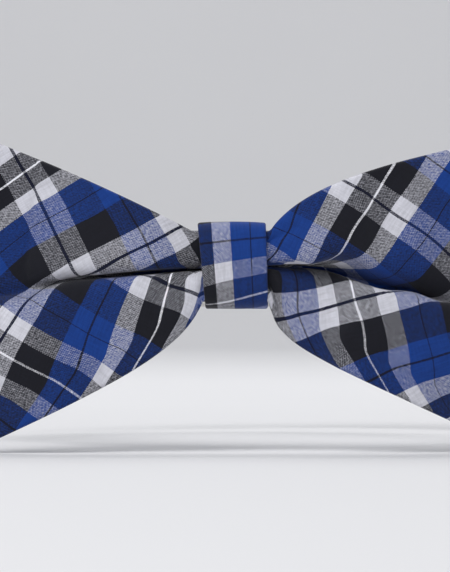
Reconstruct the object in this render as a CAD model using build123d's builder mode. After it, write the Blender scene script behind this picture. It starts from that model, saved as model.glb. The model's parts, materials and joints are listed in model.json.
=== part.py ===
from build123d import *
import os
from math import cos, exp, radians, sin

# A pre-tied bow tie, closed round a neck. Millimetres, +Z up, front towards -Y.
# The origin is on the neck's axis, half way up the band.
# A ring angle is counted from the front, positive towards +X; 180 is the nape.

# ---- neck band ----
NECK_R = 62.0  # a 39 cm collar
BAND_T = 1.0  # folded cloth tube with its interlining
SKIN_T = 0.3  # cloth of the tube
BAND_H = 15.0
GAP = 0.3  # between layers that move past each other
SIDE_R = NECK_R + 1.5  # inner face of the adjustable side, which clears the slide's bars
HINGE_ANGLE = 60.0  # where the band starts to bend open
HINGE_GAP = 0.75  # degrees between the front run and each side run
JOG_ANGLE = 15.0  # where the front run leaves the neck to pass through the knot

# ---- knot ----
KNOT_BACK = NECK_R + 0.4
KNOT_FRONT = NECK_R + 14.6
KNOT_H = 18.2
KNOT_TOP_W = 14.8
KNOT_FOOT_W = 12.9
KNOT_CORNER = 1.6  # behind
KNOT_ROUND = 2.4  # how much rounder the front is
WRAP_T = 0.8
STIFFENER_T = 0.4
FRONT_RUN = NECK_R + 1.8  # inner face of the band where it passes through the knot
FRONT_RUN_HALF = 9.0
CORE_BACK = NECK_R + 3.4  # the gathered waist
CORE_FRONT = NECK_R + 12.2
THREAD_R = 0.2

# ---- bow ----
PANEL_T = 0.6
BOW_INTERLINING_T = 0.8
BOW_T = 2 * PANEL_T + BOW_INTERLINING_T
WAIST_HALF_H = 7.3
WAIST_HALF_W = 7.6
WAIST_FOLD = 3.3  # half the depth of the folds at the waist
FLARE = 0.46  # how fast the half height grows towards the wing's end
SPREAD = 5.0  # extra half height gained just outside the knot
SPREAD_OVER = 4.5
FOLD_GAIN = 2.0  # extra fold depth just outside the knot
FOLD_FADE = 0.068  # how fast the folds flatten towards the wing's end
STATIONS = [0, 4, 7.6, 9, 10.5, 12.5, 15, 18, 22, 27, 33, 40, 48, 55, 61]
DROOP = 0.105  # how far each wing's middle sinks for its distance past the knot
CORNER_TOP = (52.2, 28.4)
CORNER_FOOT = (48.4, -36.2)
WING_TIP = (59.6, -4.9)

# ---- metal ----
BAR_R = 0.8
LOOP_R = 1.0  # inside of a cloth loop round a bar
RAIL_IN = 8.0
RAIL_T = 1.2
LOOP_TAB = 9.0  # turned-back end of a sewn loop
BAR_RING_R = SIDE_R + BAND_T + GAP + BAND_T + LOOP_R  # slide bar and hook bar
SLIDE_ANGLE = 138.6
HOOK_ANGLE = 172.0
TRAVEL = 27.7  # degrees that the hook end moves when the band is shortened
EYE_ANGLE = -171.0
EYE_RING_R = NECK_R + BAND_T + LOOP_R
HOOK_LIFT = 20.0  # the hook rests lifted clear of the eye
SLIDE_BAR_R = 0.5
SLIDE_BAR_RING_R = NECK_R + 0.7
SLIDE_BAR_SPAN = 4.6  # degrees from the slide's middle bar to its outer bars
STITCH_R = 0.25

os.makedirs("parts", exist_ok=True)


def ring_point(angle, radius):
    """The point at a ring angle and a distance from the neck's axis."""
    return (radius * sin(radians(angle)), -radius * cos(radians(angle)))


def save(builder, label):
    builder.part.label = label
    export_step(builder.part, f"parts/{label}.step")


def sector(center, inner, outer, start, sweep):
    """Adds a curved strip between two radii to the sketch being drawn."""
    with BuildLine() as outline:
        far = CenterArc(center, outer, start, sweep)
        near = CenterArc(center, inner, start, sweep)
        Line(near @ 0, far @ 0)
        Line(near @ 1, far @ 1)
    make_face(outline.edges())


def run(inner, outer, first, last):
    """Adds a run of band between two ring angles to the sketch being drawn."""
    sector((0, 0), inner, outer, first - 90, last - first)


def disc(angle, radius, size, mode=Mode.ADD):
    """Adds a round section at a ring angle to the sketch being drawn."""
    with Locations(ring_point(angle, radius)):
        Circle(size, mode=mode)


def half_loop(angle, radius, side, inset=0.0):
    """Adds cloth turning back round a bar, on the side of larger or smaller angles."""
    start = angle - 90 if side > 0 else angle + 90
    sector(ring_point(angle, radius), LOOP_R + inset, LOOP_R + BAND_T - inset, start, 180)


# ---- the bow: two cloth panels with an interlining between them ----
def past_knot(x):
    return max(0.0, abs(x) - WAIST_HALF_W)


def half_height(x):
    grown = 1 - exp(-past_knot(x) / SPREAD_OVER)
    return WAIST_HALF_H + FLARE * past_knot(x) + SPREAD * grown


def fold_depth(x):
    grown = 1 - exp(-past_knot(x) / SPREAD_OVER)
    return WAIST_FOLD + FOLD_GAIN * grown - FOLD_FADE * past_knot(x)


def fold_line(x, offset):
    """Points across the gathered cloth at one station: both edges and the centre lie back."""
    steps = 12
    middle = (CORE_BACK + CORE_FRONT - BOW_T) / 2 + offset
    points = []
    for i in range(steps + 1):
        across = 2 * i / steps - 1
        back = fold_depth(x) * cos(radians(360) * across)
        points.append((back - middle, across * half_height(x)))
    return points


def bow_layer(label, near, far):
    """One layer of the bow, between two distances from its back face."""
    with BuildPart() as layer:
        for x in [-x for x in reversed(STATIONS[1:])] + STATIONS:
            sink = DROOP * past_knot(x)
            station = Plane(origin=(x, 0, -sink), x_dir=(0, 1, 0), z_dir=(1, 0, 0))
            with BuildSketch(station):
                with BuildLine():
                    back = Spline(fold_line(x, near))
                    front = Spline(fold_line(x, far))
                    Line(back @ 0, front @ 0)
                    Line(back @ 1, front @ 1)
                make_face()
        loft(ruled=True)
        with BuildSketch(Plane.XZ):
            with BuildLine():
                right = ThreePointArc(CORNER_FOOT, WING_TIP, CORNER_TOP)
                left = mirror(right, about=Plane.YZ)
                Polyline(right @ 1, (0, 2 * CORNER_TOP[1]), left @ 1)
                Polyline(right @ 0, (0, 2 * CORNER_FOOT[1]), left @ 0)
            make_face()
        extrude(amount=2 * NECK_R, mode=Mode.INTERSECT)
    save(layer, label)


bow_layer("bow_back_panel", 0, PANEL_T)
bow_layer("bow_interlining", PANEL_T, PANEL_T + BOW_INTERLINING_T)
bow_layer("bow_front_panel", PANEL_T + BOW_INTERLINING_T, BOW_T)

# ---- the knot: thread, stiffener and a wrapped strip of cloth ----
def knot_profile(back, front, height, corner):
    """A section across the knot: nearly square behind, round in front."""
    with BuildSketch() as profile:
        with Locations((-(back + front) / 2, 0)):
            Rectangle(front - back, height)
        fillet(profile.vertices().group_by(Axis.X)[-1], corner)
        fillet(profile.vertices().group_by(Axis.X)[0], corner + KNOT_ROUND)
    return profile.sketch


THREAD_TURNS = 4
THREAD_PITCH = 1.0
with BuildPart() as gather_thread:
    for turn in range(THREAD_TURNS):
        x = (turn - THREAD_TURNS / 2) * THREAD_PITCH
        loop_plane = Plane(origin=(x, 0, 0), x_dir=(0, 1, 0), z_dir=(1, 0, 0))
        with BuildSketch(loop_plane):
            for thick, mode in ((2 * THREAD_R, Mode.ADD), (0, Mode.SUBTRACT)):
                reach = GAP / 2 + thick
                height = 2 * (WAIST_HALF_H + reach)
                add(knot_profile(CORE_BACK - reach, CORE_FRONT + reach, height, reach), mode=mode)
        extrude(amount=2 * THREAD_R)
    fillet(gather_thread.edges(), THREAD_R * 0.9)
save(gather_thread, "gather_thread")


def knot_tube(label, outer, inner, slit):
    """A flattened tube round the waist, inset from the knot's outer size."""
    with BuildPart() as tube:
        with BuildSketch(Plane.YZ):
            for inset, mode in ((outer, Mode.ADD), (inner, Mode.SUBTRACT)):
                back, front = KNOT_BACK + inset, KNOT_FRONT - inset
                height, corner = KNOT_H - 2 * inset, KNOT_CORNER - inset
                add(knot_profile(back, front, height, corner), mode=mode)
            if slit:
                with Locations((-KNOT_BACK, 0)):
                    Rectangle(4 * WRAP_T, 0.2, mode=Mode.SUBTRACT)
        extrude(amount=KNOT_TOP_W, both=True)
        with BuildSketch(Plane.XZ):
            with BuildLine():
                Polyline(
                    (-KNOT_TOP_W / 2 + outer, KNOT_H / 2),
                    (KNOT_TOP_W / 2 - outer, KNOT_H / 2),
                    (KNOT_FOOT_W / 2 - outer, -KNOT_H / 2),
                    (-KNOT_FOOT_W / 2 + outer, -KNOT_H / 2),
                    close=True,
                )
            make_face()
        extrude(amount=2 * NECK_R, mode=Mode.INTERSECT)
    save(tube, label)


knot_tube("knot_wrap", 0, WRAP_T, slit=True)
knot_tube("knot_interlining", WRAP_T, WRAP_T + STIFFENER_T, slit=True)

KNOT_STITCHES = 5
with BuildPart() as knot_stitches:
    with Locations((0, -(KNOT_BACK - 0.05), 0)):
        with GridLocations(2.4, 1, KNOT_STITCHES, 1):
            Cylinder(0.2, 3.0)
save(knot_stitches, "knot_stitches")


# ---- the neck band ----
def front_run(inset):
    """Adds the run that passes through the knot to the sketch being drawn."""
    inner, outer = FRONT_RUN + inset, FRONT_RUN + BAND_T - inset
    end = inset / NECK_R * 60
    for side, base in ((-1, NECK_R), (1, SIDE_R)):
        arm_in, arm_out = base + inset, base + BAND_T - inset
        far = HINGE_ANGLE - HINGE_GAP - end
        first, last = (JOG_ANGLE, far) if side > 0 else (-far, -JOG_ANGLE)
        run(arm_in, arm_out, first, last)
        with BuildLine() as jog:
            Polyline(
                ring_point(side * JOG_ANGLE, arm_in),
                ring_point(side * JOG_ANGLE, arm_out),
                (side * FRONT_RUN_HALF, -outer),
                (0, -outer),
                (0, -inner),
                (side * FRONT_RUN_HALF, -inner),
                close=True,
            )
        make_face(jog.edges())


def side_run(base, side, last, inset):
    """Adds a side run, from its bend to its last angle, to the sketch being drawn."""
    inner, outer = base + inset, base + BAND_T - inset
    first, last = (HINGE_ANGLE, last) if side > 0 else (last, -HINGE_ANGLE)
    run(inner, outer, first, last)
    disc(side * HINGE_ANGLE, base + BAND_T / 2, BAND_T / 2 - inset)


def left_run(inset):
    """Adds the fixed side: neck run, loop round the eye's bar and its turned-back tab."""
    side_run(NECK_R, -1, EYE_ANGLE, inset)
    half_loop(EYE_ANGLE, EYE_RING_R, -1, inset)
    tab_in = EYE_RING_R + LOOP_R
    tab = degrees_of(LOOP_TAB, tab_in)
    run(tab_in + inset, tab_in + BAND_T - inset, EYE_ANGLE, EYE_ANGLE + tab)


def degrees_of(length, radius):
    return length / radius * 57.2958


RETURN_R = BAR_RING_R + LOOP_R  # inner face of the turned-back layer
LEG_R = BAR_RING_R - LOOP_R - BAND_T  # inner face of the layer that meets the hook
MAIN_END = HOOK_ANGLE - TRAVEL + 2.0
LEG_START = SLIDE_ANGLE + degrees_of(LOOP_TAB, LEG_R) + 0.6
STUB = 2.0  # degrees of outer layer that belong to the hook's loop


def hook_leg(inset):
    """Adds the leg that runs to the hook and turns round its bar."""
    run(LEG_R + inset, LEG_R + BAND_T - inset, LEG_START + inset, HOOK_ANGLE)
    half_loop(HOOK_ANGLE, BAR_RING_R, 1, inset)
    run(RETURN_R + inset, RETURN_R + BAND_T - inset, HOOK_ANGLE - STUB + inset, HOOK_ANGLE)


def return_leg(inset):
    """Adds the turned-back layer, with its sewn loop round the slide's middle bar."""
    last = HOOK_ANGLE - STUB - 0.4
    run(RETURN_R + inset, RETURN_R + BAND_T - inset, SLIDE_ANGLE, last - inset)
    half_loop(SLIDE_ANGLE, BAR_RING_R, -1, inset)
    tab = degrees_of(LOOP_TAB, LEG_R)
    run(LEG_R + inset, LEG_R + BAND_T - inset, SLIDE_ANGLE, SLIDE_ANGLE + tab - inset)


def band_pieces(label, draw):
    """A cloth tube and the interlining sealed in it, from one outline."""
    with BuildPart() as sleeve:
        with BuildSketch(Plane.XY.offset(-BAND_H / 2)):
            draw(0)
        extrude(amount=BAND_H)
        with BuildSketch(Plane.XY.offset(SKIN_T - BAND_H / 2)):
            draw(SKIN_T)
        extrude(amount=BAND_H - 2 * SKIN_T, mode=Mode.SUBTRACT)
    save(sleeve, label)
    with BuildPart() as core:
        with BuildSketch(Plane.XY.offset(SKIN_T - BAND_H / 2)):
            draw(SKIN_T)
        extrude(amount=BAND_H - 2 * SKIN_T)
    save(core, f"{label}_interlining")


band_pieces("band_front", front_run)
band_pieces("band_left", left_run)
band_pieces("band_right", lambda inset: side_run(SIDE_R, 1, MAIN_END - inset, inset))
band_pieces("band_hook_leg", hook_leg)
band_pieces("band_return", return_leg)


def bartack(label, angle, low, high):
    """A row of stitches through two layers of band, at one ring angle."""
    stitches = 6
    x, y = ring_point(angle, low)
    outward = Plane(origin=(x, y, 0), x_dir=(0, 0, 1), z_dir=(x, y, 0))
    with BuildPart() as row:
        with BuildSketch(outward):
            with GridLocations(2.2, 1, stitches, 1):
                Circle(STITCH_R)
        extrude(amount=high - low)
    save(row, label)


TACK_IN = 4.5  # from the bar to the row of stitches
eye_tack = EYE_ANGLE + degrees_of(TACK_IN, EYE_RING_R)
bartack("eye_bartack", eye_tack, NECK_R + 0.15, EYE_RING_R + LOOP_R + BAND_T + 0.2)
slide_tack = SLIDE_ANGLE + degrees_of(TACK_IN, BAR_RING_R)
bartack("slide_bartack", slide_tack, LEG_R + 0.15, RETURN_R + BAND_T + 0.2)

# ---- adjuster slide: two bars inside the band and one outside, joined at the edges ----
with BuildPart() as adjuster_slide:
    rail_top = RAIL_IN + RAIL_T
    outer_bars = [SLIDE_ANGLE - SLIDE_BAR_SPAN, SLIDE_ANGLE + SLIDE_BAR_SPAN]
    with BuildSketch(Plane.XY.offset(-rail_top)):
        disc(SLIDE_ANGLE, BAR_RING_R, BAR_R)
        for angle in outer_bars:
            disc(angle, SLIDE_BAR_RING_R, SLIDE_BAR_R)
    extrude(amount=2 * rail_top)
    for base in (-rail_top, RAIL_IN):
        with BuildSketch(Plane.XY.offset(base)):
            disc(SLIDE_ANGLE, BAR_RING_R, BAR_R)
            for angle in outer_bars:
                disc(angle, SLIDE_BAR_RING_R, SLIDE_BAR_R)
            make_hull()
        extrude(amount=RAIL_T)
save(adjuster_slide, "adjuster_slide")

# ---- clasp: a flat hook and the eye that it goes through ----
HOOK_BAR_B = 5.0  # the hook's second bar, from its strap bar
HOOK_PLATE_T = 1.2
TONGUE_HALF = 4.0
NOSE_NEAR, NOSE_FAR = 13.0, 14.2
NOSE_DEPTH = 3.75
TONGUE_TOP = -0.7
hook_x, hook_y = ring_point(HOOK_ANGLE, BAR_RING_R)
# x runs along the hook to its nose, y towards the neck
hook_plane = Plane(
    origin=(hook_x, hook_y, 0),
    x_dir=(-cos(radians(HOOK_LIFT)), sin(radians(HOOK_LIFT)), 0),
    z_dir=(0, 0, 1),
)
with BuildPart() as clasp_hook:
    rail_top = RAIL_IN + RAIL_T
    with BuildSketch(hook_plane.offset(-rail_top)):
        Circle(BAR_R)
        with Locations((HOOK_BAR_B, 0)):
            Rectangle(1.6, 2 * BAR_R)
    extrude(amount=2 * rail_top)
    for base in (-rail_top, RAIL_IN):
        with BuildSketch(hook_plane.offset(base)):
            Circle(BAR_R)
            with Locations((HOOK_BAR_B / 2, 0)):
                Rectangle(HOOK_BAR_B, 2 * BAR_R)
        extrude(amount=RAIL_T)
    with BuildSketch(hook_plane.offset(-TONGUE_HALF)):
        with BuildLine():
            Polyline(
                (HOOK_BAR_B, TONGUE_TOP),
                (NOSE_FAR - 0.6, TONGUE_TOP),
                (NOSE_FAR, TONGUE_TOP + 0.6),
                (NOSE_FAR, NOSE_DEPTH),
                (NOSE_NEAR, NOSE_DEPTH),
                (NOSE_NEAR, TONGUE_TOP + HOOK_PLATE_T),
                (HOOK_BAR_B, TONGUE_TOP + HOOK_PLATE_T),
                close=True,
            )
        make_face()
    extrude(amount=2 * TONGUE_HALF)
save(clasp_hook, "clasp_hook")

EYE_REACH = 7.3  # from the eye's strap bar to its free bar
EYE_BAR_W = 1.4
EYE_T = 1.2
eye_x, eye_y = ring_point(EYE_ANGLE, EYE_RING_R)
eye_plane = Plane(origin=(eye_x, eye_y, 0), x_dir=(1, 0, 0), z_dir=(0, 0, 1))
with BuildPart() as clasp_eye:
    rail_top = RAIL_IN + RAIL_T
    with BuildSketch(eye_plane.offset(-rail_top)):
        Circle(BAR_R)
        with Locations((EYE_REACH, 0)):
            Rectangle(EYE_BAR_W, EYE_T)
    extrude(amount=2 * rail_top)
    for base in (-rail_top, RAIL_IN):
        with BuildSketch(eye_plane.offset(base)):
            Circle(BAR_R)
            with Locations((EYE_REACH / 2, 0)):
                Rectangle(EYE_REACH + EYE_BAR_W, EYE_T)
        extrude(amount=RAIL_T)
save(clasp_eye, "clasp_eye")
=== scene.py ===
import json
from math import atan2, degrees, pi, radians, sqrt

import bmesh
import bpy
import numpy as np
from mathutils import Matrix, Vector


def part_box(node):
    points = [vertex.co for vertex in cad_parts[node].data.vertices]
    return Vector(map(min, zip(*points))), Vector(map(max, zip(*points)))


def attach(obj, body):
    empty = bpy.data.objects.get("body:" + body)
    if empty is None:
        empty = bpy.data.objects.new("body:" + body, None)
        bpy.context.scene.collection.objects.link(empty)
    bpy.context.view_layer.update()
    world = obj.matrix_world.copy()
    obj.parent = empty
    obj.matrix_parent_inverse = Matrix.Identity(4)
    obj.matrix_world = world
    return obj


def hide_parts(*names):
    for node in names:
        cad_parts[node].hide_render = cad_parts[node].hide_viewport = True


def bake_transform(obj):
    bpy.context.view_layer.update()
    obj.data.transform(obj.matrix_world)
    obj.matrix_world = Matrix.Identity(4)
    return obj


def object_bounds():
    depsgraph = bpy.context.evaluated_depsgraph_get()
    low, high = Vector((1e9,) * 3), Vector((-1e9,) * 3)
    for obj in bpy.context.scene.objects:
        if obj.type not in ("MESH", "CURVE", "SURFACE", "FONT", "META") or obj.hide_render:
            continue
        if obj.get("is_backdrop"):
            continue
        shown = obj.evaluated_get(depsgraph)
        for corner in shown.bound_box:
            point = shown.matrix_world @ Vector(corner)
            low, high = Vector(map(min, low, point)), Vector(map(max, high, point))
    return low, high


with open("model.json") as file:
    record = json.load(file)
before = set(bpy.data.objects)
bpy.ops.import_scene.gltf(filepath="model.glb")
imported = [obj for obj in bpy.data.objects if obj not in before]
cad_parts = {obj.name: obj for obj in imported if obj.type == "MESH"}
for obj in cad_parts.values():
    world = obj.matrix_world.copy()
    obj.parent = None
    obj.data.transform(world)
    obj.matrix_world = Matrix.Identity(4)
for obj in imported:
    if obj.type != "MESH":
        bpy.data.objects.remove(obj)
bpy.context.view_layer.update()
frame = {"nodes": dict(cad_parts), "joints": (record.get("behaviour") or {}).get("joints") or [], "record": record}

# Lengths are in millimetres until a mesh is made, in the frame of the CAD model.
# A ring angle is counted about the neck's axis from the front, positive towards +X.
MM = 0.001
NECK_R = frame["record"]["mounts"][0]["dims"]["r_mm"]


def box(node):
    """A node's lowest and highest corners, in millimetres."""
    low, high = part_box(node)
    return np.array(low) / MM, np.array(high) / MM


def smooth(t):
    """0 up to t = 0, 1 from t = 1, and an even curve between."""
    t = np.clip(t, 0.0, 1.0)
    return t * t * (3 - 2 * t)


def mix(a, b, t):
    return a + (b - a) * t


def directions(points):
    """Unit direction of a line of points at each of them."""
    tangent = np.gradient(points, axis=0)
    return tangent / np.linalg.norm(tangent, axis=1, keepdims=True)


def way_along(points):
    """How far along a line each of its points is."""
    return np.concatenate([[0], np.cumsum(np.linalg.norm(np.diff(points, axis=0), axis=1))])


def resample(points, step):
    """Evenly spaced points along a line."""
    length = way_along(points)
    even = np.linspace(0, length[-1], max(8, round(length[-1] / step)))
    return np.stack([np.interp(even, length, points[:, k]) for k in range(points.shape[1])], axis=-1)


# ---------------------------------------------------------------- meshes
def new_piece(name, mesh):
    """A smooth-shaded object of a mesh, put in the scene."""
    mesh.shade_smooth()
    piece = bpy.data.objects.new(name, mesh)
    bpy.context.scene.collection.objects.link(piece)
    return piece


def grid_normals(points):
    """Unit normals of a grid of points, one for each point."""
    along = np.gradient(points, axis=0)
    across = np.gradient(points, axis=1)
    normal = np.cross(along, across)
    return normal / np.maximum(np.linalg.norm(normal, axis=2, keepdims=True), 1e-9)


def edge_profile(positions, low, high, radius):
    """1 inside a strip and rounding down to nearly 0 at its two edges."""
    edge = np.minimum(positions - low, high - positions)
    inside = np.clip(1 - edge / radius, 0.0, 1.0)
    return np.maximum(np.sqrt(1 - inside * inside), 0.06)


def spaced(low, high, step, radius):
    """Positions across a strip, closer together where its edges are rounded."""
    rim = radius * (1 - np.cos(np.linspace(0, pi / 2, 5)))
    middle = np.linspace(low + radius, high - radius, max(3, round((high - low - 2 * radius) / step) + 1))
    return np.concatenate([low + rim[:-1], middle, high - rim[:-1][::-1]])


def shell(name, front, back, pattern):
    """A thin closed solid between two grids of points, with its place in the plaid as its UV map."""
    rows, cols = front.shape[:2]
    count = rows * cols
    ids = np.arange(count).reshape(rows, cols)
    face = np.stack([ids[:-1, :-1], ids[1:, :-1], ids[1:, 1:], ids[:-1, 1:]], axis=-1).reshape(-1, 4)
    rim = np.concatenate([ids[0, :-1], ids[:-1, -1], ids[-1, :0:-1], ids[:0:-1, 0]])
    after = np.roll(rim, -1)
    side = np.stack([rim, after, after + count, rim + count], axis=-1)
    faces = np.concatenate([face, face[:, ::-1] + count, side])
    points = np.concatenate([front.reshape(-1, 3), back.reshape(-1, 3)]) * MM
    mesh = bpy.data.meshes.new(name)
    mesh.from_pydata(points.tolist(), [], faces.tolist())
    place = np.tile(pattern.reshape(-1, 2), (2, 1)) * MM
    corners = np.empty(len(mesh.loops), dtype=np.int32)
    mesh.loops.foreach_get("vertex_index", corners)
    layer = mesh.uv_layers.new(name="cloth")
    layer.data.foreach_set("uv", place[corners].astype(np.float32).ravel())
    return new_piece(name, mesh)


def tube(points, radius, sides=8):
    """Vertices and faces of a thread along a line of points, narrowed to round ends."""
    tangent = directions(points)
    helper = np.array([0.31, 0.17, 0.94])  # any direction that no stitch has
    first = np.cross(tangent, helper)
    first /= np.linalg.norm(first, axis=1, keepdims=True)
    second = np.cross(tangent, first)
    end = np.minimum(np.arange(len(points)), np.arange(len(points))[::-1])
    size = radius * np.where(end == 0, 0.35, np.where(end == 1, 0.85, 1.0))
    turn = np.linspace(0, 2 * pi, sides, endpoint=False)
    ring = first[:, None] * np.cos(turn)[None, :, None] + second[:, None] * np.sin(turn)[None, :, None]
    vertices = (points[:, None] + ring * size[:, None, None]).reshape(-1, 3)
    faces = []
    for row in range(len(points) - 1):
        for k in range(sides):
            a, b = row * sides + k, row * sides + (k + 1) % sides
            faces.append((a, a + sides, b + sides, b))
    last = (len(points) - 1) * sides
    faces.append(tuple(range(sides)))
    faces.append(tuple(last + k for k in reversed(range(sides))))
    return vertices, faces


def thread_piece(name, lines, radius):
    """One mesh of several stitches, each a short tube."""
    points, faces = [], []
    for line in lines:
        vertices, quads = tube(line, radius)
        faces += [tuple(i + len(points) for i in face) for face in quads]
        points += vertices.tolist()
    mesh = bpy.data.meshes.new(name)
    mesh.from_pydata([tuple(c * MM for c in p) for p in points], [], faces)
    return new_piece(name, mesh)


# ---------------------------------------------------------------- the plaid and the other finishes
WHITE, BLACK, BLUE = (0.63, 0.63, 0.69), (0.007, 0.0075, 0.013), (0.0055, 0.042, 0.235)
NAVY_LINE, WHITE_LINE = (0.004, 0.006, 0.024), (0.85, 0.85, 0.90)  # single lines of a thicker yarn
# Colours and widths of the plaid's stripes, the same along warp and weft
SETT = [
    (WHITE, 3.85), (NAVY_LINE, 0.60), (WHITE, 3.85), (BLACK, 6.95),
    (BLUE, 4.0), (NAVY_LINE, 0.4), (BLUE, 4.0), (WHITE, 3.9),
    (BLACK, 3.85), (WHITE_LINE, 0.4), (BLACK, 3.85), (WHITE, 3.9),
    (BLUE, 4.0), (NAVY_LINE, 0.4), (BLUE, 4.0), (BLACK, 6.95),
]
REPEAT = sum(width for _, width in SETT)
YARN = 0.23  # from one yarn to the next


class Nodes:
    """Short calls for building a material's node tree."""

    def __init__(self, name):
        self.material = bpy.data.materials.new(name)
        self.material.use_nodes = True
        self.tree = self.material.node_tree
        self.shader = self.tree.nodes["Principled BSDF"]

    def add(self, kind, settings=(), **inputs):
        node = self.tree.nodes.new(kind)
        for key, value in dict(settings).items():
            setattr(node, key, value)
        for key, value in inputs.items():
            self.feed(node.inputs[key.replace("_", " ")], value)
        return node

    def feed(self, socket, value):
        """Links a node's output to an input, or sets the input to a value."""
        if isinstance(value, bpy.types.NodeSocket):
            self.tree.links.new(value, socket)
        else:
            socket.default_value = value

    def math(self, operation, a, b=0.0, c=0.0):
        node = self.tree.nodes.new("ShaderNodeMath")
        node.operation = operation
        for socket, value in zip(node.inputs, (a, b, c)):
            self.feed(socket, value)
        return node.outputs[0]

    def blend(self, factor, a, b, kind="MIX"):
        node = self.tree.nodes.new("ShaderNodeMix")
        node.data_type = "RGBA"
        node.blend_type = kind
        self.feed(node.inputs["Factor"], factor)
        self.feed(node.inputs[6], a)  # 6, 7 and output 2 are the colour sockets
        self.feed(node.inputs[7], b)
        return node.outputs[2]

    def scaled(self, colour, amount):
        """A colour made lighter or darker."""
        return self.blend(1.0, colour, self.vector(amount, amount, amount), "MULTIPLY")

    def vector(self, x, y, z=0.0):
        return self.add("ShaderNodeCombineXYZ", X=x, Y=y, Z=z).outputs[0]

    def grey(self, colour):
        return self.add("ShaderNodeRGBToBW", Color=colour).outputs[0]

    def noise(self, place, scale, detail):
        return self.add("ShaderNodeTexNoise", Vector=place, Scale=scale, Detail=detail).outputs["Fac"]

    def remap(self, value, low, high):
        """Brings the middle of a noise's range to another range."""
        ends = {"From_Min": 0.3, "From_Max": 0.7, "To_Min": low, "To_Max": high}
        return self.add("ShaderNodeMapRange", Value=value, **ends).outputs[0]

    def around_zero(self, value, reach):
        """Brings a noise to a range about zero."""
        return self.math("MULTIPLY", self.math("SUBTRACT", value, 0.5), reach)

    def set(self, **values):
        for key, value in values.items():
            self.feed(self.shader.inputs[key.replace("_", " ")], value)


def stripes(n, place):
    """The colour of the yarn at a distance across the plaid, and 1 where it is a thicker yarn."""
    turn = n.math("FRACT", n.math("DIVIDE", place, REPEAT))
    ramp = n.add("ShaderNodeValToRGB", Fac=turn)
    ramp.color_ramp.interpolation = "CONSTANT"
    stops = ramp.color_ramp.elements
    start = 0.0
    for index, (colour, width) in enumerate(SETT):
        stop = stops[index] if index < 1 else stops.new(start / REPEAT)
        stop.position = start / REPEAT
        stop.color = (*colour, 1.0 if colour in (NAVY_LINE, WHITE_LINE) else 0.0)
        start += width
    stops.remove(stops[-1])
    return ramp.outputs[0], ramp.outputs[1]


def streaked(n, colour, along, across):
    """A yarn colour made a little lighter and darker in streaks along the yarn."""
    stretched = n.vector(n.math("MULTIPLY", across, 2.4), n.math("MULTIPLY", along, 0.22))
    return n.scaled(colour, n.remap(n.noise(stretched, 1.0, 3.0), 0.80, 1.14))


def weft_shown(n, warp, weft, lighter, thicker):
    """How much of the weft shows: by the weave, in flecks, more where it is thicker, and more where it is darker,
    which is painted shade that darkens crossings of light and dark yarns.
    """
    cell = n.vector(n.math("DIVIDE", warp, YARN), n.math("DIVIDE", weft, YARN), 0.5)
    crossing = n.add("ShaderNodeTexChecker", Vector=cell, Scale=1.0).outputs["Fac"]
    diagonal = n.vector(n.math("MULTIPLY", n.math("ADD", warp, weft), 1.1),
                        n.math("MULTIPLY", n.math("SUBTRACT", warp, weft), 2.0))
    fleck = n.around_zero(n.noise(diagonal, 1.0, 1.0), 1.15)
    # painted shade: the darker of two crossing yarns shows more, as if the light yarn lay in the dark one's shade;
    # thicker yarns show more for real
    painted_shade_and_thickness = n.math("ADD", n.math("MULTIPLY", lighter, 0.40), n.math("MULTIPLY", thicker, 0.32))
    shown = n.math("ADD", n.math("MULTIPLY_ADD", crossing, 0.44, 0.40), n.math("ADD", fleck, painted_shade_and_thickness))
    return n.add("ShaderNodeClamp", Value=shown).outputs[0]


def yarn_height(n, warp, weft):
    """Height of the woven surface: rounded yarns both ways, and a slow unevenness."""
    rounds = [n.math("ABSOLUTE", n.math("SINE", n.math("MULTIPLY", line, pi / YARN)))
              for line in (warp, weft)]
    woven = n.math("MULTIPLY", n.math("ADD", *rounds), 0.5)
    return n.math("ADD", woven, n.math("MULTIPLY", n.noise(n.vector(warp, weft), 0.8, 3.0), 1.2))


def plaid_material():
    """Plain-woven cotton: warp and weft yarns cross over and under, so crossing stripes mix."""
    n = Nodes("plaid_cotton")
    place = n.add("ShaderNodeSeparateXYZ", Vector=n.add("ShaderNodeUVMap", {"uv_map": "cloth"}).outputs[0])
    warp = n.math("DIVIDE", place.outputs[0], MM)
    weft = n.math("DIVIDE", place.outputs[1], MM)
    wander = n.around_zero(n.noise(n.vector(warp, weft), 1.6, 1.0), 0.14)
    warp_colour, warp_thick = stripes(n, n.math("ADD", warp, wander))
    weft_colour, weft_thick = stripes(n, n.math("ADD", weft, wander))
    warp_colour = streaked(n, warp_colour, weft, warp)
    weft_colour = streaked(n, weft_colour, warp, weft)
    # how much lighter the warp is than the weft, which makes the darker yarn show more as painted shade between
    # yarns
    lighter = n.math("SUBTRACT", n.grey(warp_colour), n.grey(weft_colour))
    thicker = n.math("SUBTRACT", weft_thick, warp_thick)
    colour = n.blend(weft_shown(n, warp, weft, lighter, thicker), warp_colour, weft_colour)
    colour = n.scaled(colour, n.remap(n.noise(n.vector(warp, weft), 0.09, 3.0), 0.93, 1.05))
    bump = n.add("ShaderNodeBump", Strength=0.35, Distance=0.00012, Height=yarn_height(n, warp, weft))
    n.set(Base_Color=colour, Roughness=0.88, Specular_IOR_Level=0.22, Sheen_Weight=0.12,
          Sheen_Roughness=0.5, Normal=bump.outputs[0])
    return n.material


def object_place(n):
    """Place on a piece in its own metres."""
    return n.add("ShaderNodeTexCoord").outputs["Object"]


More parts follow.
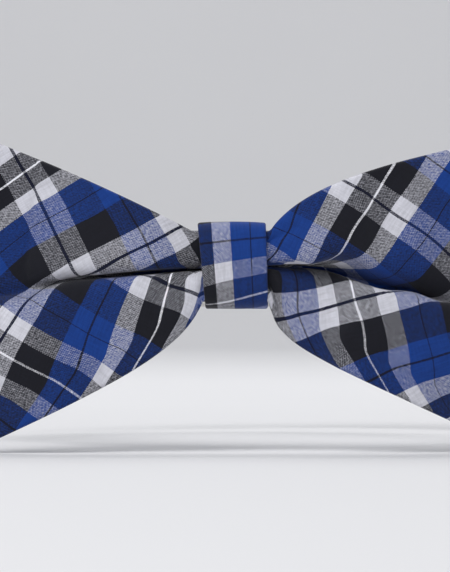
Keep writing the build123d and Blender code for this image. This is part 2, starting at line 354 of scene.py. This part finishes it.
def canvas_material():
    """Unbleached woven interlining."""
    n = Nodes("interlining")
    place = object_place(n)
    weave = n.add("ShaderNodeTexChecker", Vector=place, Scale=1600.0).outputs["Fac"]
    slub = n.noise(place, 900.0, 3.0)
    colour = n.blend(slub, (0.62, 0.59, 0.51, 1), (0.78, 0.76, 0.69, 1))
    bump = n.add("ShaderNodeBump", Strength=0.4, Distance=0.0001, Height=n.math("ADD", weave, slub))
    n.set(Base_Color=colour, Roughness=0.95, Specular_IOR_Level=0.15, Normal=bump.outputs[0])
    return n.material


def thread_material():
    """Twisted navy sewing thread."""
    n = Nodes("thread")
    place = object_place(n)
    diagonal = {"bands_direction": "DIAGONAL"}
    ply = n.add("ShaderNodeTexWave", diagonal, Vector=place, Scale=900.0, Distortion=1.5).outputs["Fac"]
    colour = n.blend(ply, (0.010, 0.014, 0.050, 1), (0.035, 0.045, 0.120, 1))
    bump = n.add("ShaderNodeBump", Strength=0.5, Distance=0.00006, Height=ply)
    n.set(Base_Color=colour, Roughness=0.55, Sheen_Weight=0.2, Normal=bump.outputs[0])
    return n.material


def nickel_material():
    """Nickel plate with fine rub marks, a little darker where it is handled less."""
    n = Nodes("nickel")
    place = object_place(n)
    drawn = n.add("ShaderNodeMapping", Vector=place, Scale=(240.0, 240.0, 2600.0)).outputs[0]
    rub = n.noise(drawn, 1.0, 3.0)
    cloud = n.noise(place, 260.0, 3.0)
    colour = n.blend(cloud, (0.56, 0.54, 0.50, 1), (0.74, 0.73, 0.70, 1))
    bump = n.add("ShaderNodeBump", Strength=0.12, Distance=0.00005, Height=rub)
    n.set(Base_Color=colour, Metallic=1.0, Roughness=n.remap(rub, 0.22, 0.42), Normal=bump.outputs[0])
    return n.material


def stage_material():
    """Pale matt paper under and behind the piece."""
    n = Nodes("studio_paper")
    tone = n.noise(object_place(n), 3.0, 2.0)
    colour = n.blend(tone, (0.74, 0.74, 0.755, 1), (0.78, 0.78, 0.795, 1))
    n.set(Base_Color=colour, Roughness=0.9, Specular_IOR_Level=0.1)
    return n.material


SLOTS = {
    "plaid_cotton": plaid_material(),
    "interlining": canvas_material(),
    "thread": thread_material(),
    "nickel": nickel_material(),
}


def finish_piece(piece, slot, *nodes):
    """Gives a piece its finish, and hides the CAD nodes that it stands for."""
    piece.data.materials.clear()
    piece.data.materials.append(SLOTS[slot])
    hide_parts(*nodes)
    return piece


def on_bias(u, v, shift):
    """Places in the plaid for cloth cut at 45 degrees to its stripes."""
    return np.stack([(u + v) / sqrt(2) + shift[0], (u - v) / sqrt(2) + shift[1]], axis=-1)


# ---------------------------------------------------------------- the gathered bow
# Flat places on the cloth are u along the bow, from its middle, and v across it.
WAIST = 7.6  # half of the length that the knot holds
# Width of the flat cloth above and below its middle line: at the knot, and its growth for each
# millimetre past the knot. The lobes differ because each tuck takes in more on one side.
CLOTH = {"left": ((21.2, 0.165), (23.9, 0.16)), "right": ((21.6, 0.205), (33.5, -0.08))}
HALF_WIDTH = 28.0  # roughly the cloth's, to turn millimetres across it into shares
HALF_LENGTH = 60.0  # of the flat cloth along its middle
CORNER_LENGTH = 4.0  # more of it at the corners
RIM = 0.8  # width over which a layer's edge is rounded
CANVAS_INSET = 2.0  # how far the interlining stays inside the cloth's edges
VALLEY_Y = 66.3  # distance of the tuck's deepest line in front of the neck's axis
WAIST_DEPTH, TUCK_DEPTH = 8.0, 10.0  # most that the cloth stands before that line, at the knot and beyond it

# Height of each wing's edges: start + slope w + bend w^2 + swell (1 - e^(-w / reach)), where w is
# the way past begin, in the order begin, start, slope, bend, swell, reach
EDGES = {
    "left": {"top": (WAIST, 6.9, 0.47, -0.0011, 0.0, 1.0), "foot": (5.9, 7.3, 0.42, 0.0, 7.3, 12.0)},
    "right": {"top": (WAIST, 7.2, 0.20, 0.0, 9.6, 14.0), "foot": (6.9, 7.3, 0.42, 0.0, 5.8, 6.0)},
}
# How the cloth of each upper and lower lobe is turned from the wing's own direction: the slope where
# the turn starts, and the way across over which it fades
LEAN = {"left": ((0.28, 60.0), (-0.05, 60.0)), "right": ((0.17, 60.0), (1.0, 8.5))}
PATTERN_SHIFT = {"left": (24.0, -24.2), "right": (20.3, -32.5)}  # place in the plaid of u = v = 0


def edge_height(u, begin, start, slope, bend, swell, reach):
    """How far above or below the middle a wing's edge is; see EDGES."""
    past = np.maximum(0.0, np.abs(u) - begin)
    return start + slope * past + bend * past * past + swell * (1 - np.exp(-past / reach))


def crease(v, middle, width, strength):
    """Turns the cloth back before a line and forward after it, which leaves a valley along the line."""
    t = (v - middle) / width
    return strength * t * np.exp((1 - t * t) / 2)


def cloth_width(side, past):
    """Width of the flat cloth above and below its middle line."""
    return [start + growth * past for start, growth in CLOTH[side]]


def valley_line(side, past):
    """Where the tuck's deepest line is: its place across the cloth and its height."""
    if side == "left":
        return 0.0 * past, -0.6 - 0.075 * past - 2.0 * smooth((past - 24) / 20)
    return (-8.0 + 5.0 * smooth((past - 8) / 16),
            0.2 - 0.05 * past - 3.6 * smooth((past - 9) / 18) - 2.0 * smooth((past - 29) / 9))


def tuck_shape(side, past):
    """How the cloth runs into the tuck from above and from below: its turn, and how much cloth turns."""
    soft = 2.4 + 0.10 * past
    if side == "left":
        return (1.54, soft), (1.54, soft)
    outward = smooth((past - 8) / 12)
    return (1.54 - 0.34 * outward, 2.4 + 5.0 * outward), (1.54, 8.0 - 4.0 * outward)


def tuck(distance, hidden, shoulder):
    """1 where the cloth runs back into the tuck and 0 on the front, by its distance from the valley."""
    return smooth(distance / 1.6) * (1 - smooth((distance - hidden) / shoulder))


def integrate(values, step):
    """Running sum of each row's values times the steps between them."""
    total = np.zeros_like(values)
    total[:, 1:] = np.cumsum((values[:, 1:] + values[:, :-1]) / 2 * step, axis=1)
    return total


def at_valley(values, v, valley):
    """Values of each row where it crosses the valley."""
    return np.array([np.interp(place, line, row) for place, line, row in zip(valley, v, values)])[:, None]


def solve_half(target, step, distance, shape, extra, keep):
    """Angles that bring one half of each section to its seen height, found by halving how much cloth its
    tuck hides. keep is 1 in that half of the section and 0 in the other."""
    turn, shoulder = shape
    low, high = np.full_like(target, -8.0), np.full_like(target, 20.0)
    for _ in range(26):
        hidden = ((low + high) / 2)[:, None]
        rise = np.cos(turn * tuck(distance, hidden, shoulder) + extra) * keep
        height = ((rise[:, 1:] + rise[:, :-1]) / 2 * step).sum(axis=1)
        tall = height > target
        low = np.where(tall, hidden[:, 0], low)
        high = np.where(tall, high, hidden[:, 0])
    return turn * tuck(distance, hidden, shoulder)


def wing_surface(side, u, across):
    """One wing's middle surface, for stations along it and places across it: flat v, y and z."""
    past = np.maximum(0.0, np.abs(u) - WAIST)
    up, low = cloth_width(side, past[:, None])
    v = across[None, :] * np.where(across > 0, up, low)
    step = np.diff(v, axis=1)
    valley, valley_z = valley_line(side, past)
    top = edge_height(u, *EDGES[side]["top"])
    foot = edge_height(u, *EDGES[side]["foot"])
    distance = v - valley[:, None]
    above = 1 / (1 + np.exp(-distance / 0.3))
    extra = 0.0
    if side == "left":  # a second, shallow fold below the tuck, towards the tip
        extra = crease(v, valley[:, None] - 8.0, 4.5, 0.35 * smooth((past[:, None] - 26) / 10))
    from_up, from_low = tuck_shape(side, past[:, None])
    into_up = solve_half(top - valley_z, step, distance, from_up, extra, above)
    into_low = solve_half(foot + valley_z, step, -distance, from_low, -extra, 1 - above)
    angle = into_up - into_low + extra
    rise = integrate(np.cos(angle), step)
    depth = integrate(np.sin(angle), step)
    rise = rise - at_valley(rise, v, valley)
    depth = depth - at_valley(depth, v, valley)
    stretch_up = ((top - valley_z) / rise[:, -1])[:, None]
    stretch_low = ((foot + valley_z) / -rise[:, 0])[:, None]
    rise = rise * mix(stretch_low, stretch_up, above)
    room = mix(WAIST_DEPTH, TUCK_DEPTH, smooth(past / 12))
    squeeze = 1 / (1 + (depth.max(axis=1) / room) ** 6) ** (1 / 6)
    depth = depth * squeeze[:, None] + (1.6 * smooth(past / 45))[:, None]
    return v, -(VALLEY_Y + depth), valley_z[:, None] + rise


def wrinkles(u, v):
    """Small gathers that run out of the knot, and the slight unevenness of pressed cotton."""
    past = np.maximum(0.0, np.abs(u) - WAIST)
    near = np.exp(-past / 6.5)
    far = smooth(past / 18)
    side = np.sign(u)
    gathers = 0.30 * near * np.sin(2 * pi * v / 6.1 + 0.9 * side + 0.12 * past)
    gathers += 0.16 * near * np.sin(2 * pi * v / 3.7 + 2.1 * side - 0.2 * past)
    rumple = 0.22 * np.sin(u / 5.3 + v / 9.1 + 0.7) * np.sin(v / 6.7 - u / 17.0 + 1.9)
    rumple += 0.14 * np.sin(u / 3.1 - v / 4.9 + 2.3) * np.sin(v / 3.9 + u / 11.0)
    return gathers + 0.35 * far * rumple


def lean(u, v):
    """How much further along the cloth a place is than its station, because its lobe is turned."""
    unturned = 3.0  # half of the strip along the middle that stays straight
    into = np.maximum(0.0, np.abs(v) - unturned)
    turned = {}
    for side, lobes in LEAN.items():
        above, below = (slope * reach * (1 - np.exp(-into / reach)) for slope, reach in lobes)
        turned[side] = np.where(v > 0, above, below)
    return np.where(u < 0, turned["left"], turned["right"])


def bow_surface(step, inset):
    """The bow's middle surface, cut at the cloth's edges or inside them: points, normals, rounding, u, v."""
    reach = HALF_LENGTH + CORNER_LENGTH + 8.0
    u = np.linspace(-reach, reach, round(2 * reach / step) | 1)
    across = spaced(-1.0, 1.0, step / HALF_WIDTH, RIM / HALF_WIDTH)
    side = smooth((u + WAIST) / (2 * WAIST))[:, None]
    left = wing_surface("left", u, across)
    right = wing_surface("right", u, across)
    v, y, z = (mix(left[k], right[k], side) for k in range(3))
    station = np.broadcast_to(u[:, None], v.shape)
    # x grows so that the cloth keeps its length along the wing
    pace = np.sqrt(np.clip(1 + np.gradient(v, u, axis=0) ** 2 - np.gradient(z, u, axis=0) ** 2, 0.16, 1.2))
    middle = len(u) // 2
    half = (pace[1:] + pace[:-1]) / 2 * np.diff(u)[:, None]
    x = np.zeros_like(z)
    x[middle + 1:] = np.cumsum(half[middle:], axis=0)
    x[:middle] = -np.cumsum(half[:middle][::-1], axis=0)[::-1]
    points = np.stack([x, y, z], axis=-1)
    points = points - grid_normals(points) * wrinkles(station, v)[..., None]
    flat_u = station + np.clip(station / WAIST, -1, 1) * lean(station, v)
    # the outline: stations are cut where the cloth ends, and places across it where the inset starts
    ends, sides = 1 - inset / HALF_LENGTH, 1 - inset / HALF_WIDTH
    kept = np.abs(across) <= sides + 1e-9
    across, points, flat_u, v = across[kept], points[:, kept], flat_u[:, kept], v[:, kept]
    along = spaced(-ends, ends, step / HALF_LENGTH, RIM / HALF_LENGTH)
    cut_u = along[:, None] * (HALF_LENGTH + CORNER_LENGTH * across ** 2)[None, :]
    cut = np.empty((*cut_u.shape, 3))
    cut_v = np.empty_like(cut_u)
    for j in range(len(across)):
        for k in range(3):
            cut[:, j, k] = np.interp(cut_u[:, j], flat_u[:, j], points[:, j, k])
        cut_v[:, j] = np.interp(cut_u[:, j], flat_u[:, j], v[:, j])
    edge = np.minimum(edge_profile(along, -ends, ends, RIM / HALF_LENGTH)[:, None],
                      edge_profile(across, -sides, sides, RIM / HALF_WIDTH)[None, :])
    return cut, -grid_normals(cut), edge, cut_u, cut_v


def bow_layer(name, step, outer, inner, slot, *nodes):
    """One layer of the bow, between two distances in front of its middle surface."""
    inset = CANVAS_INSET if slot == "interlining" else 0.0
    middle, normals, edge, u, v = bow_surface(step, inset)
    front = middle + normals * (outer * edge)[..., None]
    back = middle + normals * (inner * edge)[..., None]
    right = smooth((u + WAIST) / (2 * WAIST))
    shift = [mix(PATTERN_SHIFT["left"][k], PATTERN_SHIFT["right"][k], right) for k in (0, 1)]
    piece = shell(name, front, back, on_bias(u, v, shift))
    finish_piece(piece, slot, *nodes)
    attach(piece, "bow")


# ---------------------------------------------------------------- the knot
knot_low, knot_high = box("knot_wrap")
KNOT_BACK, KNOT_FRONT = -knot_high[1], -knot_low[1]
KNOT_HALF = knot_high[2]
WRAP_T, LINING_T = 0.8, 0.4
STRIP_WIDTH = 14.2  # of the flat strip that is wrapped
STRIP_EDGES = ((-7.5, -5.8), (6.9, 7.4))  # x of its left and right edges, at the top and at the foot
STRIP_RIM = 0.035  # share of its width over which an edge is rounded
PLAID_TILT = (3.0, 16.0)  # degrees by which the stripes across the knot slope, at the top and at the foot
KNOT_SHIFT = (24.9, 40.1)  # place in the plaid of the middle of the knot's front


def rounded_loop(corners, radii, step):
    """Points round a closed outline with rounded corners, from the middle of its last side."""
    corners = np.array(corners, float)
    pieces = []
    for i, corner in enumerate(corners):
        before, after = corners[i - 1] - corner, corners[(i + 1) % len(corners)] - corner
        before, after = before / np.linalg.norm(before), after / np.linalg.norm(after)
        half = np.arccos(np.dot(before, after)) / 2
        reach = radii[i] / np.tan(half)
        centre = corner + (before + after) / np.linalg.norm(before + after) * radii[i] / np.sin(half)
        first, last = corner + before * reach - centre, corner + after * reach - centre
        start = atan2(first[1], first[0])
        turn = (atan2(last[1], last[0]) - start + pi) % (2 * pi) - pi
        count = max(4, round(abs(turn) * radii[i] / step * 2))
        angles = start + turn * np.linspace(0, 1, count)
        pieces.append(centre + radii[i] * np.stack([np.cos(angles), np.sin(angles)], axis=-1))
    start = (pieces[-1][-1] + pieces[0][0]) / 2
    return resample(np.concatenate([[start], *pieces, [start]]), step)


def knot_layer(name, inset, thick, slot, *nodes):
    """One layer of the strip wrapped round the waist, narrower and more rounded at its foot."""
    middle = inset + thick / 2
    back, front = KNOT_BACK + middle, KNOT_FRONT - middle
    top, foot = KNOT_HALF - middle, -KNOT_HALF + middle
    outline = [(-back, top), (-front + 0.3, top), (-front, foot + 0.4), (-back, foot)]
    loop = rounded_loop(outline, [1.4, 3.0 - middle, 5.2 - middle, 1.4], 0.35)[2:-2]
    tangent = directions(loop)
    length = way_along(loop)
    down = (KNOT_HALF - loop[:, 1]) / (2 * KNOT_HALF)
    left, right = (mix(at_top, at_foot, down) for at_top, at_foot in STRIP_EDGES)
    across = spaced(0.0, 1.0, 0.035, STRIP_RIM)
    x = left[:, None] + inset + (right - left - 2 * inset)[:, None] * across
    wide = edge_profile(across, 0, 1, STRIP_RIM)[None, :]
    at_front = smooth((-loop[:, 0] - back) / (front - back) * 1.6 - 0.5)[:, None]
    outside = np.abs(2 * across - 1)[None, :]  # 0 in the middle of the strip, 1 at its edges
    crown = 0.35 * (1 - outside ** 2) * at_front
    pull = 0.11 * np.sin(length[:, None] / 1.35 + 2.2 * outside) * outside ** 2 * at_front
    lift = (crown + pull)[..., None]
    outward = np.stack([np.zeros_like(length), -tangent[:, 1], tangent[:, 0]], axis=-1)
    outward = outward * np.sign(np.sum(outward[:, 1:] * (loop - loop.mean(axis=0)), axis=1))[:, None]
    y, z = (np.broadcast_to(loop[:, k:k + 1], x.shape) for k in (0, 1))
    base = np.stack([x, y, z], axis=-1)
    outer = base + outward[:, None] * (lift + (thick / 2 * wide)[..., None])
    inner = base + outward[:, None] * (lift - (thick / 2 * wide)[..., None])
    tilt = np.tan(np.radians(mix(*PLAID_TILT, down)))[:, None]
    flat_x = (across - 0.5)[None, :] * STRIP_WIDTH
    facing = slice(len(loop) // 4, 3 * len(loop) // 4)  # the part of the loop that runs down the front
    at_middle = np.interp(0.5, down[facing], length[facing])
    rows = length[:, None] - at_middle + flat_x * tilt
    columns = np.broadcast_to(flat_x, rows.shape)
    pattern = np.stack([rows + KNOT_SHIFT[0], columns + KNOT_SHIFT[1]], axis=-1)
    piece = shell(name, inner, outer, pattern)
    finish_piece(piece, slot, *nodes)
    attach(piece, "bow")


# ---------------------------------------------------------------- the neck band
BAND_T = 1.0
BAND_HALF = box("band_left")[1][2]
BAND_RIM = 0.5  # width over which its edges are rounded
BAND_SHIFT = 2.0  # place in the plaid of the band's middle
LINING_INSET = 0.3
LOOP_MIDDLE = 1.5  # from a bar's centre to the middle of the cloth turned round it
# Radii of the middle of the cloth: through the knot, either side of the neck, the leg and what turns back
KNOT_RUN = NECK_R + 2.3
LEFT_R = NECK_R + 0.5
RIGHT_R = NECK_R + 2.0
LEG_R, RETURN_R = NECK_R + 3.3, NECK_R + 6.3
STRAP_START = 78.0  # ring angle at which the right side of the band becomes the sliding strap
TAB = 8.0  # degrees of cloth turned under and sewn down at a bar


def joint(name):
    """A joint of the CAD model, by its name."""
    return next(j for j in frame["joints"] if j["name"] == name)


def ring(angle, radius):
    """A point in plan at a ring angle; for arrays, a row of x and a row of y."""
    return np.array([radius * np.sin(np.radians(angle)), -radius * np.cos(np.radians(angle))])


def ring_angle(point):
    """The ring angle of a point in plan."""
    return degrees(atan2(point[0], -point[1]))


hook_bar = np.array(joint("hook_turn")["pos_m"][:2]) / MM
eye_bar = np.array(joint("eye_turn")["pos_m"][:2]) / MM
HOOK_ANGLE, EYE_ANGLE = ring_angle(hook_bar), ring_angle(eye_bar)
BAR_RING_R, EYE_RING_R = np.linalg.norm(hook_bar), np.linalg.norm(eye_bar)
SLIDE_ANGLE = 138.6  # of the slide's middle bar


def run(first, last, radius):
    """Points along the band between two ring angles; radius may vary with the angle."""
    angles = np.linspace(first, last, max(4, round(abs(last - first) * 1.1)))
    radii = radius(angles) if callable(radius) else radius
    return ring(angles, radii).T


def turn_round(angle, ring_radius, side, outward):
    """Points of cloth turning back round a bar, on the side of larger or smaller ring angles."""
    centre = ring(angle, ring_radius)
    radial, along = ring(angle, 1.0), ring(angle + 90, 1.0) * side
    swing = np.linspace(-pi / 2, pi / 2, 15) * (1 if outward else -1)
    return centre + LOOP_MIDDLE * (np.sin(swing)[:, None] * radial + np.cos(swing)[:, None] * along)


def from_knot(settled):
    """Radius of the band as it comes out of the knot and settles on the neck."""
    def radius(angles):
        through = KNOT_RUN / np.cos(np.radians(angles))
        return mix(through, settled, smooth((np.abs(angles) - 7) / 8))
    return radius


def ribbon(name, path, start, inset, slot, *nodes):
    """A folded strip of band along a path in plan, and where it ends along the cloth that start counts on."""
    path = resample(path, 0.8)
    tangent = directions(path)
    normal = np.stack([tangent[:, 1], -tangent[:, 0]], axis=-1)
    length = way_along(path)
    half, thick = BAND_HALF - inset, BAND_T / 2 - inset
    z = spaced(-half, half, 1.0, BAND_RIM)
    edge = edge_profile(z, -half, half, BAND_RIM)[None, :]
    s = (start + length)[:, None]
    sway = 0.10 * np.sin(s / 7.3 + z / 6.0) + 0.06 * np.sin(s / 2.9 - z / 3.1)
    seam = 0.16 * np.exp(-(z / 0.35) ** 2)[None, :] if not inset else 0.0
    height = z[None, :] + 0.08 * np.sin(s / 6.1) * (z / half)

    def face(offset):
        xy = path[:, None] + normal[:, None] * offset[..., None]
        return np.concatenate([xy, np.broadcast_to(height, offset.shape)[..., None]], axis=-1)

    outer = face(thick * edge + sway * 0.5)
    inner = face(-thick * edge + sway * 0.5 + seam)
    pattern = np.stack([np.broadcast_to(z, sway.shape) + BAND_SHIFT, np.broadcast_to(s, sway.shape)], axis=-1)
    piece = shell(name, outer, inner, pattern)
    finish_piece(piece, slot, *nodes)
    return piece, start + length[-1]


def tab_run(bar_angle, at_bar, sewn_down):
    """The end of a strip past a bar, where it settles onto the layer that it is sewn to."""
    return run(bar_angle + 1.2, bar_angle + TAB,
               lambda a: mix(at_bar, sewn_down, smooth((a - bar_angle - 0.5) / 3.0)))


def band_paths():
    """Routes of the strips: left, right as far as it turns, strap to the hook, and turned-back layer."""
    strap_end = HOOK_ANGLE - 2.4

    def sagging(a):
        share = np.clip((a - SLIDE_ANGLE) / (strap_end - SLIDE_ANGLE), 0, 1)
        return RETURN_R - 0.9 * np.sin(pi * share) ** 2

    left = np.concatenate([
        run(0, EYE_ANGLE + 1, from_knot(LEFT_R)),
        turn_round(EYE_ANGLE, EYE_RING_R, -1, True),
        tab_run(EYE_ANGLE, EYE_RING_R + LOOP_MIDDLE, LEFT_R + 1.15),
    ])
    right = run(0, STRAP_START, from_knot(RIGHT_R))
    strap = np.concatenate([
        run(STRAP_START, HOOK_ANGLE - 1, lambda a: mix(RIGHT_R, LEG_R, smooth((a - 148) / 20))),
        turn_round(HOOK_ANGLE, BAR_RING_R, 1, True),
        run(HOOK_ANGLE - 1.2, strap_end, RETURN_R),
    ])
    back = np.concatenate([
        run(strap_end, SLIDE_ANGLE + 1, sagging),
        turn_round(SLIDE_ANGLE, BAR_RING_R, -1, False),
        tab_run(SLIDE_ANGLE, LEG_R, RETURN_R - 1.35),
    ])
    return {"left": left, "right": right, "strap": strap, "return": back}


def at(angle, radius):
    """A point of the band in the frame's metres."""
    return (*(ring(angle, radius) * MM), 0.0)


# For each strip, the CAD nodes that it stands for, and the bodies and places between which it is meant to bend;
# these bodies and places are not used
BANDS = {
    "left": (("band_left", "band_front"), ("bow", "left_band", at(-40, LEFT_R), at(-80, LEFT_R))),
    "right": (("band_right",), ("bow", "right_band", at(40, RIGHT_R), at(STRAP_START, RIGHT_R))),
    "strap": (("band_hook_leg",), ("right_band", "hook_end", at(80, RIGHT_R), at(166, RIGHT_R))),
    "return": (("band_return",), ("hook_end", "slide", at(168, RETURN_R), at(140, RETURN_R))),
}


def neck_band():
    """The band's strips and their linings. The plaid runs on from the right side through strap and return."""
    begin = 0.0
    for key, path in band_paths().items():
        nodes, bend = BANDS[key]
        linings = [f"{node}_interlining" for node in nodes]
        cloth, end = ribbon(f"band_{key}_cloth", path, begin, 0.0, "plaid_cotton", *nodes)
        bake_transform(cloth)
        lining, _ = ribbon(f"band_{key}_lining", path, begin, LINING_INSET, "interlining", *linings)
        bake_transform(lining)
        begin = 0.0 if key == "left" else end


# ---------------------------------------------------------------- metal and stitches
def rounded_copy(node, width):
    """A CAD node's shape again, in nickel, with its edges rounded as stamped or drawn metal has them."""
    source = frame["nodes"][node]
    mesh = source.data.copy()
    mesh.name = f"{node}_metal"
    work = bmesh.new()
    work.from_mesh(mesh)
    bmesh.ops.remove_doubles(work, verts=work.verts, dist=1e-6)
    bmesh.ops.dissolve_limit(work, angle_limit=radians(2), verts=work.verts, edges=work.edges)
    sharp = [e for e in work.edges if len(e.link_faces) == 2 and e.calc_face_angle(0) > radians(40)]
    bmesh.ops.bevel(work, geom=sharp, offset=width * MM, offset_type="OFFSET", segments=3, profile=0.5,
                    affect="EDGES", clamp_overlap=True)
    work.to_mesh(mesh)
    work.free()
    return finish_piece(new_piece(mesh.name, mesh), "nickel", node)


def stitch(a, b, lift):
    """One short stitch between two points, standing proud along lift in its middle."""
    a, b, lift = (np.array(vector, float) for vector in (a, b, lift))
    t = np.linspace(0, 1, 7)[:, None]
    return a + (b - a) * t + lift * np.sin(pi * t) - lift * 0.6


def tack_stitches(angle, low, high):
    """A bar tack: close stitches up the band on both of its faces."""
    lines = []
    radial = np.array([*ring(angle, 1.0), 0.0])
    along = np.array([*ring(angle + 90, 1.0), 0.0])
    for face, sign in ((low, -1), (high, 1)):
        for i in range(12):
            z = -5.5 + i
            a = radial * face - along * 0.7 + np.array([0, 0, z - 0.3])
            b = radial * face + along * 0.7 + np.array([0, 0, z + 0.3])
            lines.append(stitch(a, b, radial * 0.22 * sign))
    return lines


def knot_stitches():
    """Slanting stitches along the seam at the knot's back."""
    y = -KNOT_BACK - 0.05
    starts = [-4.8 + 1.6 * i for i in range(7)]
    return [stitch((x, y, -1.1), (x + 0.7, y, 1.1), (0, 0.3, 0)) for x in starts]


def stitches():
    """The sewn places: the two bar tacks, and the seam at the knot's back."""
    tack_radius, seam_radius = 0.16, 0.17
    lines = tack_stitches(EYE_ANGLE + 4.4, LEFT_R - 0.55, LEFT_R + 1.7)
    piece = thread_piece("eye_bartack_thread", lines, tack_radius)
    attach(finish_piece(piece, "thread", "eye_bartack"), "left_band")
    lines = tack_stitches(SLIDE_ANGLE + 4.2, RETURN_R - 1.9, RETURN_R + 0.5)
    piece = thread_piece("slide_bartack_thread", lines, tack_radius)
    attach(finish_piece(piece, "thread", "slide_bartack"), "slide")
    piece = thread_piece("knot_stitch_thread", knot_stitches(), seam_radius)
    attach(finish_piece(piece, "thread", "knot_stitches"), "bow")


# ---------------------------------------------------------------- studio
def studio():
    """A floor that turns up into a wall behind. Lengths here and below are in metres."""
    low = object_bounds()[0][2]
    start, radius = 1.5, 0.8  # of the turn, beyond any camera that looks from the back
    turn = np.linspace(0, pi / 2, 16)
    ys = np.concatenate([[-2.6], start + radius * np.sin(turn), [start + radius]])
    zs = np.concatenate([[0.0], radius * (1 - np.cos(turn)), [3.0]]) + low
    rows = [[(x, y, z) for x in (-3.0, 3.0)] for y, z in zip(ys, zs)]
    mesh = bpy.data.meshes.new("studio_sweep")
    points = [p for row in rows for p in row]
    mesh.from_pydata(points, [], [(2 * i, 2 * i + 1, 2 * i + 3, 2 * i + 2) for i in range(len(rows) - 1)])
    mesh.materials.append(stage_material())
    new_piece("studio_sweep", mesh)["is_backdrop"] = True


def looking(place, target):
    """The rotation of a light or camera that looks from one place to another."""
    return (Vector(target) - Vector(place)).to_track_quat("-Z", "Y").to_euler()


def area_light(name, place, target, size, power):
    data = bpy.data.lights.new(name, "AREA")
    data.shape = "DISK"
    data.size = size
    data.energy = power
    light = bpy.data.objects.new(name, data)
    light.location = place
    light.rotation_euler = looking(place, target)
    bpy.context.scene.collection.objects.link(light)


def lights():
    """A soft key light from the upper left, as in the photo, and others for the shadows and the wall."""
    bow = (0.0, -0.07, 0.0)
    area_light("key", (-0.50, -0.85, 0.95), bow, 0.8, 11.5)
    area_light("fill", (0.9, -0.9, 0.25), bow, 1.0, 2.2)
    area_light("back", (0.0, 0.55, 0.9), (0, 0, 0), 0.8, 3.0)
    area_light("backdrop", (0.0, 0.7, 1.7), (0.0, 2.3, 0.5), 1.6, 15.0)
    world = bpy.data.worlds.new("studio")
    world.use_nodes = True
    background = world.node_tree.nodes["Background"]
    background.inputs["Color"].default_value = (0.93, 0.95, 1.0, 1)
    background.inputs["Strength"].default_value = 0.30
    bpy.context.scene.world = world
    bpy.context.scene.view_settings.view_transform = "Standard"


def front_camera():
    """A level camera straight in front, as in the photo."""
    distance = 0.9
    seen = 0.1204  # height of the picture at the knot
    data = bpy.data.cameras.new("camera")
    data.sensor_fit = "VERTICAL"
    data.sensor_height = 24.0
    data.lens = data.sensor_height * distance / seen
    data.dof.use_dof = False
    camera = bpy.data.objects.new("camera", data)
    aim = Vector((-0.0017, -0.075, -0.0042))  # the picture's middle, a little left of the knot and below it
    camera.location = aim - Vector((0, distance, 0))
    camera.rotation_euler = looking(camera.location, aim)
    bpy.context.scene.collection.objects.link(camera)
    bpy.context.scene.camera = camera


# ---------------------------------------------------------------- build
# Bow layers: grid step, then how far the front and back faces stand before the bow's middle surface
bow_layer("bow_front_cloth", 0.55, 0.75, 0.30, "plaid_cotton", "bow_front_panel")
bow_layer("bow_back_cloth", 0.8, -0.30, -0.75, "plaid_cotton", "bow_back_panel")
bow_layer("bow_canvas", 0.8, 0.12, -0.22, "interlining", "bow_interlining")
knot_layer("knot_wrap_cloth", 0.0, WRAP_T, "plaid_cotton", "knot_wrap")
knot_layer("knot_lining", WRAP_T + 0.05, LINING_T, "interlining", "knot_interlining")
neck_band()
stitches()
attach(rounded_copy("adjuster_slide", 0.22), "slide")
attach(rounded_copy("clasp_hook", 0.25), "hook")
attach(rounded_copy("clasp_eye", 0.25), "eye")
gather = frame["nodes"]["gather_thread"].data  # out of sight in the knot, and so left as the CAD has it
gather.materials.clear()
gather.materials.append(SLOTS["thread"])
studio()
lights()
front_camera()
